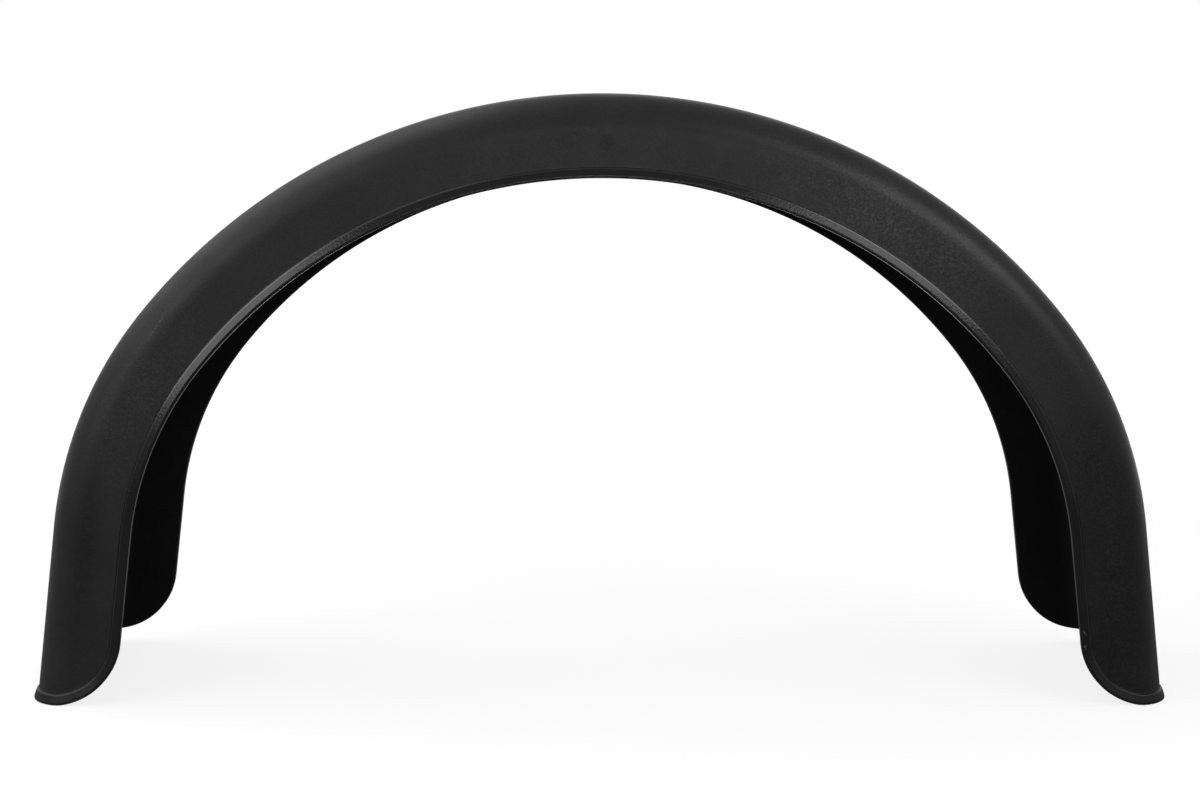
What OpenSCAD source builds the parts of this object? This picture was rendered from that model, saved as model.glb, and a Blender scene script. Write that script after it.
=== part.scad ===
// Trailer mudguard, moulded in one piece: a C-shaped channel that runs over the wheel
// in three arcs and two splayed legs, with a raised lip along every edge.
// X runs along the trailer, Y across it with +Y on the vehicle's side, and Z is up.
// The origin is at the middle of the floor that the outer side's ends stand on.

/* [Channel] */
// Width across the two lips
width = 200; // [160:1:260]
// Depth of the side walls, from their edge to the top of the crown
depth = 56; // [45:0.5:80]
// Thickness of the moulded wall
wall = 2.8; // [2:0.1:4]
// Outer radius of the shoulders between the crown and the side walls
shoulder_r = 24; // [10:0.5:35]

/* [Arch, along the edge of the side walls] */
// Radius of the top arc
arch_r = 344; // [300:1:420]
// Distance from its centre to the centre of a haunch arc, measured across the leg
haunch_x = 104.346; // [90:0.001:120]
// Distance from its centre to the centre of a haunch arc, measured up the leg
haunch_y = 66.528; // [50:0.001:80]
// Angle by which the legs stand outwards of vertical
splay = 6.652; // [4:0.001:12]
// Straight length of a leg on the outer side
leg_len = 72; // [30:1:140]

/* [Ends] */
// Radius of the round corner between the edge of a side wall and the end
corner_r = 47; // [30:1:52]
// Angle at which the ends rise towards the vehicle's side
end_deg = 2.849; // [1:0.001:6]

/* [Lip] */
// Width of the raised lip
lip_w = 7; // [5:0.1:14]
// Height of the lip above the wall
lip_h = 2.5; // [1:0.1:4]

/* [Hidden] */

$fn = 240;
reach = arch_r + depth;       // longer than anything that it cuts
seam = 1e-8;                  // overlap by which two lengths of channel fuse
half_w = width / 2 - lip_h;   // outer face of a side wall

// Centre of a shoulder in the section, where x is the height above the edge of the
// side walls and y runs across the channel
shoulder_x = depth - shoulder_r;
shoulder_y = half_w - shoulder_r;

// Right half of the side view about the top arc's centre, where x is across the leg
// and y up it. The haunch carries on the top arc and runs into the leg without a kink.
haunch_r = arch_r - norm([haunch_x, haunch_y]);
corner_x = haunch_x + haunch_r + corner_r;
corner_y = haunch_y - leg_len;
floor_z = corner_x * sin(splay) + corner_y * cos(splay) - corner_r;

// A layer of the crown and the shoulders between two distances from their outer face
module crown(from, to) {
    translate([depth + from, -shoulder_y]) square([to - from, 2 * shoulder_y]);
    for (side = [0, 1]) mirror([0, side])
        translate([shoulder_x, shoulder_y]) intersection() {
            difference() {
                circle(shoulder_r + to);
                circle(shoulder_r + from);
            }
            square(shoulder_r + to);
        }
}

// Section of the arch and the legs, with the lips along the edges of the side walls
module section() {
    crown(-wall, 0);
    for (side = [0, 1]) mirror([0, side])
        polygon([
            [0, half_w - wall], [shoulder_x, half_w - wall], [shoulder_x, half_w],
            [lip_w, half_w], [lip_w, half_w + lip_h], [0, half_w + lip_h]
        ]);
}

// A layer of the whole section, with side walls that reach past their edge
module layer(from, to) {
    crown(from, to);
    for (side = [0, 1]) mirror([0, side])
        translate([-lip_w, half_w + from]) square([shoulder_x + lip_w, to - from]);
}

// Side view of an end about the centre of its corner: a round corner, then the floor
module end_outline() {
    intersection() {
        circle(corner_r);
        translate([-corner_r, -corner_r]) square(corner_r);
    }
    translate([0, -corner_r]) square([reach, reach]);
}

// Side view of the lip along that corner and the floor
module lip_outline() {
    intersection() {
        difference() {
            circle(corner_r);
            circle(corner_r - lip_w);
        }
        translate([-corner_r, -corner_r]) square(corner_r);
    }
    translate([0, -corner_r]) square([reach, lip_w]);
}

// Turns a cut about the corner's centre on the outer side, so that across the channel
// it climbs the leg towards the vehicle's side
module slant() {
    translate([0, 0, width / 2]) rotate([end_deg, 0, 0])
        translate([0, 0, -1.5 * width]) children();
}

// The space above or below the line where the corners start
module above() {
    slant() translate([-reach, -seam, 0]) cube([2 * reach, reach, 2 * width]);
}
module below() {
    slant() translate([-reach, -reach, 0]) cube([2 * reach, reach, 2 * width]);
}

// A length of channel about the centre of the corner
module straight(from, to) {
    translate([-corner_r, to, 0]) rotate([90, 0, 0]) linear_extrude(to - from) children();
}

// A layer of the end, cut to a side view that stands upright
module end_part(from, to) {
    intersection() {
        straight(-2 * corner_r, corner_r) layer(from, to);
        below();
        slant() rotate([0, 0, -splay]) linear_extrude(2 * width) children();
    }
}

// A leg and its end about the centre of the corner
module leg() {
    intersection() {
        straight(-corner_r, leg_len) section();
        above();
    }
    end_part(-wall, 0) end_outline();
    end_part(0, lip_h) lip_outline();
}

// The channel turned about the centre of an arc
module arc(r, to) {
    rotate_extrude(angle = to) translate([r, 0]) section();
}

// The space on one side of the line through the centres of the two arcs
module beyond(side) {
    line = 5 * [haunch_x, haunch_y];
    away = side * 5 * [haunch_y, -haunch_x];
    near = -seam * away;
    translate([0, 0, -width]) linear_extrude(2 * width)
        polygon([near - line, near + line, away + line, away - line]);
}

// Top arc, haunch and leg of the right half, drawn on past the middle
module right_side() {
    intersection() {
        arc(arch_r, 90 + 2 * splay);
        beyond(-1);
    }
    translate([haunch_x, haunch_y, 0]) intersection() {
        arc(haunch_r, 90);
        beyond(1);
    }
    translate([corner_x, corner_y, 0]) leg();
}

module mudguard() {
    color("#2b2b2d") rotate([90, 0, 0]) translate([0, -floor_z, 0])
        for (side = [0, 1]) mirror([side, 0, 0])
            intersection() {
                rotate([0, 0, splay]) right_side();
                translate([0, -reach, -width]) cube([2 * reach, 3 * reach, 2 * width]);
            }
}

mudguard();
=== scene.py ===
from math import acos, atan2, cos, hypot, pi, radians, sin, sqrt, tan

import bpy
from mathutils import Matrix, Vector


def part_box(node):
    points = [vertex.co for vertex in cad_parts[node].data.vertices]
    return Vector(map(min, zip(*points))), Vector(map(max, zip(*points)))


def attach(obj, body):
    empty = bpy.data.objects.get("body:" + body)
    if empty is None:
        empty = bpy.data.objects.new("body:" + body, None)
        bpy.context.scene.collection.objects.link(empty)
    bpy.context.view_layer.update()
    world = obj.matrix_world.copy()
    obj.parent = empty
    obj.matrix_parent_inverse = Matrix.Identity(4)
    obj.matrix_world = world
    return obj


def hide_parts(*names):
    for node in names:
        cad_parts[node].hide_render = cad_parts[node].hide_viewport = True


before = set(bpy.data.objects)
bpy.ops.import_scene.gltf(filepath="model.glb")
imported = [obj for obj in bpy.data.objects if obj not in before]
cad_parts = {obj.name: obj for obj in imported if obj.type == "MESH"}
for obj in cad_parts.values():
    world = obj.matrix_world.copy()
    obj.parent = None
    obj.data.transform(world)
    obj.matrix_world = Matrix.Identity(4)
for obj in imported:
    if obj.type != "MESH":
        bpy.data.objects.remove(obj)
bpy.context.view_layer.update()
low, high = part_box("mudguard")

MM = 0.001

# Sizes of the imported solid, in millimetres. HAUNCH_X and HAUNCH_Y run across and up the right
# leg, from the top arc's centre to the haunch arc's centre.
WIDTH = (high.y - low.y) / MM
DEPTH = 56
WALL = 2.8
SHOULDER_R = 24
ARCH_R = 344
HAUNCH_X, HAUNCH_Y = 104.346, 66.528
SPLAY = radians(6.652)
LEG_LEN = 72
CORNER_R = 47
SLANT = radians(2.849)
LIP_W, LIP_H = 7, 2.5

# What follows from them. HAUNCH_START and LEG_START are lengths along the edge of a side wall
# from its top, and CORNER_X and CORNER_Y are measured as the haunch's centre is.
HALF_W = WIDTH / 2 - LIP_H
SHOULDER_V = DEPTH - SHOULDER_R
SHOULDER_Y = HALF_W - SHOULDER_R
HAUNCH_R = ARCH_R - hypot(HAUNCH_X, HAUNCH_Y)
HAUNCH_TURN = atan2(HAUNCH_Y, HAUNCH_X)
ARCH_TURN = pi / 2 - SPLAY - HAUNCH_TURN
HAUNCH_START = ARCH_R * ARCH_TURN
LEG_START = HAUNCH_START + HAUNCH_R * HAUNCH_TURN
CORNER_X, CORNER_Y = HAUNCH_X + HAUNCH_R + CORNER_R, HAUNCH_Y - LEG_LEN
FLOOR = CORNER_X * sin(SPLAY) + CORNER_Y * cos(SPLAY) - CORNER_R

# How finely the piece is drawn
COLUMNS = 260
CORNER_STEPS = 16
SHOULDER_STEPS = 12
CROWN_STEPS = 10
FILLET_STEPS = 6

# The lip's section, as distances from the edge. A narrow land lies along the rim, a face
# slopes down from it to a polished edge, and a small step ends that.
LAND, POLISH_FROM, FACE_END = 1.9, 6.0, 6.6
SIDE_TILT, SIDE_STEP = radians(22), 7.2
END_TILT, END_STEP = radians(14), 6.9
SKIN_GAP = 2.4
OUTER_FROM, INNER_FROM = LIP_W + SKIN_GAP, SKIN_GAP
STEP_FILLET, FACE_FILLET, LAND_FILLET, RIM_FILLET, INNER_FILLET = 0.5, 0.35, 0.5, 0.6, 0.9

# The section of the sides goes over into that of the ends between these distances
BLEND_FROM, BLEND_TO = 4, 30

# Points of the lip's section between which its edge is polished
POLISH_START, POLISH_STOP = FILLET_STEPS + 1, 2 * (FILLET_STEPS + 1)

# Kinds of face, each with a material of its own
OUTSIDE, INSIDE, LIP, EDGE = range(4)


def place(s, v, y):
    """The point that lies s along the edge's line from its top, v outside that line and y across."""
    along = abs(s)
    if along <= HAUNCH_START:
        turn = HAUNCH_TURN + ARCH_TURN - along / ARCH_R
        x, up = (ARCH_R + v) * cos(turn), (ARCH_R + v) * sin(turn)
    elif along <= LEG_START:
        turn = HAUNCH_TURN - (along - HAUNCH_START) / HAUNCH_R
        x, up = HAUNCH_X + (HAUNCH_R + v) * cos(turn), HAUNCH_Y + (HAUNCH_R + v) * sin(turn)
    else:
        x, up = HAUNCH_X + HAUNCH_R + v, HAUNCH_Y - (along - LEG_START)
    across = x * cos(SPLAY) - up * sin(SPLAY)
    height = x * sin(SPLAY) + up * cos(SPLAY) - FLOOR
    return Vector((across if s >= 0 else -across, y, height)) * MM


def end_of(v, y, inset):
    """How far along the edge's line a lengthwise line ends, on an end that is drawn in by inset."""
    r = CORNER_R - inset
    x = v - CORNER_R
    on_corner = x < -r * sin(SPLAY)
    down = sqrt(max(r * r - x * x, 0)) if on_corner else (r + x * sin(SPLAY)) / cos(SPLAY)
    rise = (y + WIDTH / 2) * sin(SLANT)
    return LEG_START + LEG_LEN + (down - rise) / cos(SLANT)


def lengthwise(v, y, inset):
    """A line of points from the left end to the right one."""
    end = end_of(v, y, inset)
    return [place(end * (2 * i / COLUMNS - 1), v, y) for i in range(COLUMNS + 1)]


def across_section(inset, height):
    """The section from one rim to the other, inset from the edge and height above the wall's face."""
    r = CORNER_R - inset
    last = acos((CORNER_R - SHOULDER_V) / r)
    half = []
    for i in range(CORNER_STEPS + 1):
        half.append((CORNER_R - r * cos(last * i / CORNER_STEPS), HALF_W + height))
    for i in range(1, SHOULDER_STEPS + 1):
        turn = pi / 2 * i / SHOULDER_STEPS
        half.append((SHOULDER_V + (SHOULDER_R + height) * sin(turn),
                     SHOULDER_Y + (SHOULDER_R + height) * cos(turn)))
    front = [(v, -y) for v, y in half]
    crown = [(DEPTH + height, SHOULDER_Y * (2 * i / CROWN_STEPS - 1)) for i in range(1, CROWN_STEPS)]
    return front + crown + half[::-1]


def border(rows):
    """The closed line round a skin: along the first row, down the right end and back."""
    right = [row[-1] for row in rows[1:-1]]
    left = [row[0] for row in rows[1:-1]]
    return rows[0] + right + rows[-1][::-1] + left[::-1]


def ring_at(inset, height):
    """A closed line along the lip, with the same points round it as a skin's border."""
    front, *across, back = across_section(inset, height)
    right = [place(end_of(v, y, inset), v, y) for v, y in across]
    left = [place(-end_of(v, y, inset), v, y) for v, y in across]
    return lengthwise(*front, inset) + right + lengthwise(*back, inset)[::-1] + left[::-1]


def end_shares():
    """For each point of a ring, 0 along the sides and 1 across the ends, smooth in between."""
    def share(v):
        t = min(max((v - BLEND_FROM) / (BLEND_TO - BLEND_FROM), 0), 1)
        return t * t * (3 - 2 * t)
    across = [share(v) for v, _ in across_section(0, 0)[1:-1]]
    along = [0] * (COLUMNS + 1)
    return along + across + along + across[::-1]


def ring(side_point, end_point):
    """A ring whose point of the lip's section changes from the sides to the ends."""
    pairs = zip(ring_at(*side_point), ring_at(*end_point), end_shares())
    return [a.lerp(b, share) for a, b, share in pairs]


def filleted(corners):
    """A line through corners (x, y, radius) with each corner rounded, ends left as they are."""
    line = [corners[0][:2]]
    for (ax, ay, _), (bx, by, r), (cx, cy, _) in zip(corners, corners[1:], corners[2:]):
        corner = Vector((bx, by))
        into = Vector((ax - bx, ay - by)).normalized()
        out = Vector((cx - bx, cy - by)).normalized()
        half = into.angle(out) / 2
        setback = r * cos(half) / sin(half)
        centre = corner + (into + out).normalized() * (r / sin(half))
        start = corner + into * setback - centre
        end = corner + out * setback - centre
        sweep = start.angle_signed(end)
        for i in range(FILLET_STEPS + 1):
            turned = start.copy()
            turned.rotate(Matrix.Rotation(-sweep * i / FILLET_STEPS, 2))
            line.append(tuple(centre + turned))
    line.append(corners[-1][:2])
    return line


def lip_section(tilt, step):
    """The lip's section from its foot over the rim to the inner skin, as (distance, height)."""
    face_low = LIP_H - (FACE_END - LAND) * tan(tilt)
    line = filleted([
        (OUTER_FROM, 0, 0),
        (step, 0, STEP_FILLET),
        (FACE_END, face_low, FACE_FILLET),
        (LAND, LIP_H, LAND_FILLET),
        (0, LIP_H, RIM_FILLET),
        (0, -WALL, INNER_FILLET),
        (INNER_FROM, -WALL, 0),
    ])[1:-1]
    (far, far_height), (near, near_height) = line[POLISH_STOP - 1:POLISH_STOP + 1]
    share = (far - POLISH_FROM) / (far - near)
    line.insert(POLISH_STOP, (POLISH_FROM, far_height + (near_height - far_height) * share))
    return line


def make_mudguard(materials):
    """The whole moulding as one closed mesh: outer skin, lip and inner skin."""
    points, faces, kinds = [], [], []

    def add(line):
        points.extend(line)
        return list(range(len(points) - len(line), len(points)))

    def strip(first, second, kind, closed):
        pairs = list(zip(first, second))
        following = pairs[1:] + pairs[:1] if closed else pairs[1:]
        for (a, b), (c, d) in zip(pairs, following):
            faces.append((a, b, d, c))
            kinds.append(kind)

    def skin(inset, height, kind):
        rows = [add(lengthwise(v, y, inset)) for v, y in across_section(inset, height)]
        for first, second in zip(rows, rows[1:]):
            # Turned round on the outside, so that all faces look out of the wall
            pair = (second, first) if kind == OUTSIDE else (first, second)
            strip(*pair, kind, closed=False)
        return border(rows)

    outer = skin(OUTER_FROM, 0, OUTSIDE)
    sections = zip(lip_section(SIDE_TILT, SIDE_STEP), lip_section(END_TILT, END_STEP))
    lip = [add(ring(*pair)) for pair in sections]
    inner = skin(INNER_FROM, -WALL, INSIDE)

    lines = [outer, *lip, inner]
    lip_kinds = [EDGE if POLISH_START <= i < POLISH_STOP else LIP for i in range(len(lip) - 1)]
    for first, second, kind in zip(lines, lines[1:], [OUTSIDE, *lip_kinds, INSIDE]):
        strip(first, second, kind, closed=True)

    mesh = bpy.data.meshes.new("mudguard_moulding")
    mesh.from_pydata(points, [], faces)
    for material in materials:
        mesh.materials.append(material)
    mesh.polygons.foreach_set("material_index", kinds)
    mesh.polygons.foreach_set("use_smooth", [True] * len(faces))
    mesh.validate()
    piece = bpy.data.objects.new("mudguard_moulding", mesh)
    bpy.context.scene.collection.objects.link(piece)
    return piece


class Graph:
    """A node tree with short calls for the nodes that the materials and the world share."""

    def __init__(self, tree):
        self.nodes, self.links = tree.nodes, tree.links

    def node(self, kind, **settings):
        node = self.nodes.new(kind)
        for name, value in settings.items():
            setattr(node, name, value)
        return node

    def put(self, socket, value):
        if isinstance(value, bpy.types.NodeSocket):
            self.links.new(value, socket)
        else:
            socket.default_value = value

    def math(self, operation, a, b):
        node = self.node("ShaderNodeMath", operation=operation)
        self.put(node.inputs[0], a)
        self.put(node.inputs[1], b)
        return node.outputs["Value"]

    def ramp(self, value, start, end, low_value=0, high_value=1, smooth=True):
        """A value that goes from low_value to high_value as another goes from start to end."""
        node = self.node("ShaderNodeMapRange", interpolation_type="SMOOTHSTEP" if smooth else "LINEAR")
        for name, number in (("From Min", start), ("From Max", end),
                             ("To Min", low_value), ("To Max", high_value)):
            node.inputs[name].default_value = number
        self.links.new(value, node.inputs["Value"])
        return node.outputs["Result"]

    def around(self, noise, middle, swing, tail):
        """A value that swings about its middle with a noise, which is cut off at both ends by tail."""
        return self.ramp(noise, tail, 1 - tail, middle - swing, middle + swing, smooth=False)

    def point(self, kind="Object"):
        """The place on a piece, or with Generated the direction that the world is seen in."""
        return self.node("ShaderNodeTexCoord").outputs[kind]

    def length(self, vector):
        node = self.node("ShaderNodeVectorMath", operation="LENGTH")
        self.links.new(vector, node.inputs[0])
        return node.outputs["Value"]

    def y_of(self, vector):
        node = self.node("ShaderNodeSeparateXYZ")
        self.links.new(vector, node.inputs["Vector"])
        return node.outputs["Y"]

    def noise(self, scale, detail, roughness):
        node = self.node("ShaderNodeTexNoise")
        node.inputs["Scale"].default_value = scale
        node.inputs["Detail"].default_value = detail
        node.inputs["Roughness"].default_value = roughness
        self.links.new(self.point(), node.inputs["Vector"])
        return node.outputs["Fac"]

    def spot(self, centre, half_sizes, turn, soft):
        """1 inside an ellipsoid on the part, turned about Y, and 0 outside it."""
        mapping = self.node("ShaderNodeMapping", vector_type="TEXTURE")
        mapping.inputs["Location"].default_value = [c * MM for c in centre]
        mapping.inputs["Rotation"].default_value = (0, radians(turn), 0)
        mapping.inputs["Scale"].default_value = [h * MM for h in half_sizes]
        self.links.new(self.point(), mapping.inputs["Vector"])
        return self.ramp(self.length(mapping.outputs["Vector"]), 1, 1 - soft)

    def rays(self):
        """Whether the camera looks here, and whether a mirroring or clear surface does."""
        path = self.node("ShaderNodeLightPath").outputs
        mirrored = self.math("MAXIMUM", path["Is Glossy Ray"], path["Is Transmission Ray"])
        return path["Is Camera Ray"], mirrored


def grey(shade):
    return (shade, shade, shade, 1)


def new_material(name):
    material = bpy.data.materials.new(name)
    material.use_nodes = True
    return material, Graph(material.node_tree), material.node_tree.nodes["Principled BSDF"]


# Marks on the part: centre and half sizes in millimetres, turn about Y in degrees, how soft the
# edge is, the factor by which the mark is lighter or darker, and by how much it is rougher.
# Most lie on the near wall's face, or on the near lip 2 mm above it.
NEAR_WALL, NEAR_LIP = -HALF_W, -HALF_W - 2
WALL_MARKS = {
    "gate": ((2.4, NEAR_WALL, 376.9), (6.4, 3, 6.6), 23, 0.5, 0.4, 0),
    "scuffed_line": ((-293.6, -96.5, 256.6), (1.4, 3, 22), 32.5, 1, 2, 0),
    "worn_right": ((193, NEAR_WALL, 322.6), (135, 15, 62), 32, 1, 1.9, 0),
    "worn_left": ((-305.5, NEAR_WALL, 209), (40, 14, 130), 30, 1, 1.35, 0),
    "rough_left_shoulder": ((-260, -80, 280), (230, 60, 200), -40, 0.6, 1, 0.1),
    # Painted shade: these two darken the lower legs, where less light falls.
    "painted_shade_right_leg": ((339, NEAR_WALL, 85), (48, 14, 170), -6.7, 1, 0.15, 0),
    "painted_shade_left_leg": ((-346, NEAR_WALL, 105), (16, 14, 85), 6.7, 1, 0.4, 0),
}
LIP_MARKS = {
    "upper_scuff": ((324.6, NEAR_LIP, 49.5), (1.4, 2, 3.4), -32, 0.6, 12, 0),
    "lower_scuff": ((325.2, NEAR_LIP, 40.5), (1.2, 2, 3.8), -6, 0.6, 12, 0),
    "dull_right_end": ((372, 0, 0), (80, 300, 28), 0, 0.8, 1.6, 0.24),
    "dull_left_end": ((-372, 0, 0), (80, 300, 28), 0, 0.8, 2.6, 0.24),
}

# Noises as (scale, detail, roughness). The grain is about 1.4 mm, and the breakup noise breaks up the
# marks and the painted shade.
GRAIN = (700, 2, 0.5)
MOTTLE = (22, 4, 0.5)
HAZE = (60, 3, 0.5)
BREAKUP_NOISE = (140, 3, 0.7)

# How far the shade, the roughness and the marks swing with the noises, and how much of a noise
# is cut off at each end
SHADE_SWING, ROUGH_SWING = 0.2, 0.03
BREAKUP_SWING, BREAKUP_GRAIN_SWING = 0.2, 0.8
TAIL, BREAKUP_TAIL = 0.3, 0.35

# Specks: cells per metre, distances from a cell's middle, and the shade that they add
SPECK_SCALE = 48
SPECK_RIM, SPECK_CORE = 0.028, 0.012
SPECK_SHADE = 0.03

# The plastic's index of refraction, and the height of its grain in metres
IOR = 1.5
BUMP_DISTANCE = 0.0003


def speck_shade(graph):
    """What small pale specks add to the shade."""
    cells = graph.node("ShaderNodeTexVoronoi")
    cells.inputs["Scale"].default_value = SPECK_SCALE
    graph.links.new(graph.point(), cells.inputs["Vector"])
    return graph.ramp(cells.outputs["Distance"], SPECK_RIM, SPECK_CORE, 0, SPECK_SHADE)


def plastic(name, colour, roughness, gloss, grain, marks):
    """Black moulded plastic with a fine grain, a faint mottle, specks, and marks of handling and of
    painted shade.
    """
    material, graph, shader = new_material(name)
    fine = graph.noise(*GRAIN)
    shade = graph.around(graph.noise(*MOTTLE), colour, colour * SHADE_SWING, TAIL)
    shade = graph.math("MULTIPLY", shade, graph.around(fine, 1, SHADE_SWING, TAIL))
    shade = graph.math("ADD", shade, speck_shade(graph))
    rough = graph.around(graph.noise(*HAZE), roughness, ROUGH_SWING, TAIL)
    breakup = graph.math("MULTIPLY", graph.around(graph.noise(*BREAKUP_NOISE), 1, BREAKUP_SWING, BREAKUP_TAIL),
                      graph.around(fine, 1, BREAKUP_GRAIN_SWING, BREAKUP_TAIL))
    for centre, half_sizes, turn, soft, factor, rougher in marks.values():
        mask = graph.spot(centre, half_sizes, turn, soft)
        rough = graph.math("ADD", rough, graph.math("MULTIPLY", mask, rougher))
        # Each mark's strength, broken up by noise; for the leg marks this is painted shade.
        mark_and_shade_mask = graph.math("MULTIPLY", mask, breakup)
        shade = graph.math("MULTIPLY", shade, graph.math("POWER", factor, mark_and_shade_mask))
    combined = graph.node("ShaderNodeCombineColor")
    for channel in combined.inputs:
        graph.links.new(shade, channel)
    bump = graph.node("ShaderNodeBump")
    bump.inputs["Strength"].default_value = grain
    bump.inputs["Distance"].default_value = BUMP_DISTANCE
    graph.links.new(fine, bump.inputs["Height"])
    shader.inputs["IOR"].default_value = IOR
    shader.inputs["Specular IOR Level"].default_value = gloss
    graph.links.new(combined.outputs["Color"], shader.inputs["Base Color"])
    graph.links.new(rough, shader.inputs["Roughness"])
    graph.links.new(bump.outputs["Normal"], shader.inputs["Normal"])
    return material


# Materials of the kinds of face, in the order of the kinds
FACE_MATERIALS = [
    dict(name="moulded_wall", colour=0.0165, roughness=0.38, gloss=0.44, grain=0.4, marks=WALL_MARKS),
    # Partly painted shade: the inside gets a darker colour than the wall, for the shade inside the
    # arch.
    dict(name="moulded_inside_painted_shade", colour=0.009, roughness=0.6, gloss=0.2, grain=0.4, marks={}),
    dict(name="moulded_lip", colour=0.003, roughness=0.18, gloss=0.5, grain=0.35, marks=LIP_MARKS),
    dict(name="polished_edge", colour=0.003, roughness=0.18, gloss=1, grain=0.2, marks=LIP_MARKS),
]

# The floor's size and how far it lies below the part, in metres, and its finish. FLOOR_LIFT is
# the light that brings it up to white for the camera near the part, and it runs out to full
# white between FLOOR_NEAR and FLOOR_FAR from there. In reflections it goes over into the white
# backdrop between BACKDROP_NEAR and BACKDROP_FAR behind the part.
FLOOR_SIZE, FLOOR_DROP = 60, 0.0002
FLOOR_SHADE, FLOOR_ROUGHNESS, FLOOR_GLOSS = 0.28, 0.9, 0.1
FLOOR_LIFT = 0.82
FLOOR_NEAR, FLOOR_FAR = 0.7, 2.2
BACKDROP_NEAR, BACKDROP_FAR = 0.6, 2.0


def make_floor():
    """A pale floor that runs out to white and keeps the shadow."""
    bpy.ops.mesh.primitive_plane_add(size=FLOOR_SIZE, location=(0, 0, -FLOOR_DROP))
    floor = bpy.context.object
    floor.name = "floor"
    material, graph, shader = new_material("floor_paint")
    seen, mirrored = graph.rays()
    to_camera = graph.ramp(graph.length(graph.point()), FLOOR_NEAR, FLOOR_FAR, FLOOR_LIFT, 1)
    to_mirror = graph.ramp(graph.y_of(graph.point()), BACKDROP_NEAR, BACKDROP_FAR)
    strength = graph.math("MAXIMUM", graph.math("MULTIPLY", seen, to_camera),
                          graph.math("MULTIPLY", mirrored, to_mirror))
    shader.inputs["Base Color"].default_value = grey(FLOOR_SHADE)
    shader.inputs["Roughness"].default_value = FLOOR_ROUGHNESS
    shader.inputs["Specular IOR Level"].default_value = FLOOR_GLOSS
    shader.inputs["Emission Color"].default_value = grey(1)
    graph.links.new(strength, shader.inputs["Emission Strength"])
    floor.data.materials.append(material)


# How strongly the world lights matt surfaces, how bright its side behind the camera is in
# reflections, and the directions along Y across which it goes over into the white backdrop
AMBIENT = 0.4
DARK_SIDE = 0.33
BACKDROP_FROM, BACKDROP_TO = 0.6, 1


def make_world():
    """White where the camera looks and in reflections of the backdrop's side, and dim elsewhere."""
    world = bpy.data.worlds.new("studio")
    bpy.context.scene.world = world
    world.use_nodes = True
    graph = Graph(world.node_tree)
    background = world.node_tree.nodes["Background"]
    seen, mirrored = graph.rays()
    toward_back = graph.y_of(graph.point("Generated"))
    backdrop = graph.ramp(toward_back, BACKDROP_FROM, BACKDROP_TO, DARK_SIDE, 1)
    reflected = graph.math("MULTIPLY", mirrored, backdrop)
    ambient = graph.math("MULTIPLY", graph.math("SUBTRACT", 1, mirrored), AMBIENT)
    strength = graph.math("MAXIMUM", seen, graph.math("ADD", reflected, ambient))
    background.inputs["Color"].default_value = grey(1)
    graph.links.new(strength, background.inputs["Strength"])


# Softboxes round a target: azimuth from the camera's side and elevation in degrees, distance,
# width and height in metres, and brightness
TARGET = Vector((0, 0, 0.2))
SOFTBOXES = {
    "softbox_left": (-46, 22, 1.7, 0.62, 0.66, 2.55),
    "softbox_right": (45, 31, 1.7, 1.11, 0.48, 2.45),
    "softbox_front": (5, 7, 2.2, 1.2, 0.22, 2.3),
    "softbox_back": (-98, 49, 1.6, 1.7, 1.5, 1.1),
}


def make_softbox(name, azimuth, elevation, distance, width, height, brightness):
    """A rectangular lamp that faces the target, as bright to look at whatever its size."""
    light = bpy.data.lights.new(name, "AREA")
    light.shape = "RECTANGLE"
    light.size, light.size_y = width, height
    light.energy = brightness * width * height * pi
    lamp = bpy.data.objects.new(name, light)
    around, up = radians(azimuth), radians(elevation)
    away = Vector((sin(around) * cos(up), -cos(around) * cos(up), sin(up)))
    lamp.location = TARGET + away * distance
    lamp.rotation_euler = away.to_track_quat("Z", "Y").to_euler()
    bpy.context.scene.collection.objects.link(lamp)


# The camera, from a fit to the photograph's edges: the image's width and the focal length in
# pixels, the sensor and the camera's place in millimetres, and angles in degrees
IMAGE_W = 1200
FOCAL_PX = 2090
SENSOR = 36
CAMERA_DIST, CAMERA_UP, CAMERA_SIDE = 1475.3, 361.24, -0.54
CAMERA_YAW, CAMERA_TILT, CAMERA_ROLL = radians(0.782), radians(6.385), radians(0.174)

# What is nearer or further than this, in metres, isn't drawn
CLIP_NEAR, CLIP_FAR = 0.05, 200


def make_camera():
    """The camera, level with its yaw and then tilted down and rolled."""
    data = bpy.data.cameras.new("camera")
    data.sensor_width = SENSOR
    data.lens = FOCAL_PX * SENSOR / IMAGE_W
    data.clip_start, data.clip_end = CLIP_NEAR, CLIP_FAR
    camera = bpy.data.objects.new("camera", data)
    side = Vector((cos(CAMERA_YAW), -sin(CAMERA_YAW), 0))
    ahead = Vector((sin(CAMERA_YAW), cos(CAMERA_YAW), 0))
    forward = ahead * cos(CAMERA_TILT) - Vector((0, 0, sin(CAMERA_TILT)))
    up = side.cross(forward)
    right = side * cos(CAMERA_ROLL) + up * sin(CAMERA_ROLL)
    turn = Matrix((right, right.cross(forward), -forward)).transposed()
    stand = side * CAMERA_SIDE - ahead * CAMERA_DIST + Vector((0, 0, CAMERA_UP))
    camera.matrix_world = Matrix.Translation(stand * MM) @ turn.to_4x4()
    bpy.context.scene.collection.objects.link(camera)
    bpy.context.scene.camera = camera


make_camera()
make_floor()
make_world()
for name, settings in SOFTBOXES.items():
    make_softbox(name, *settings)

bpy.context.scene.view_settings.view_transform = "Standard"

mudguard = make_mudguard([plastic(**finish) for finish in FACE_MATERIALS])
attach(mudguard, "root")
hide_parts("mudguard")
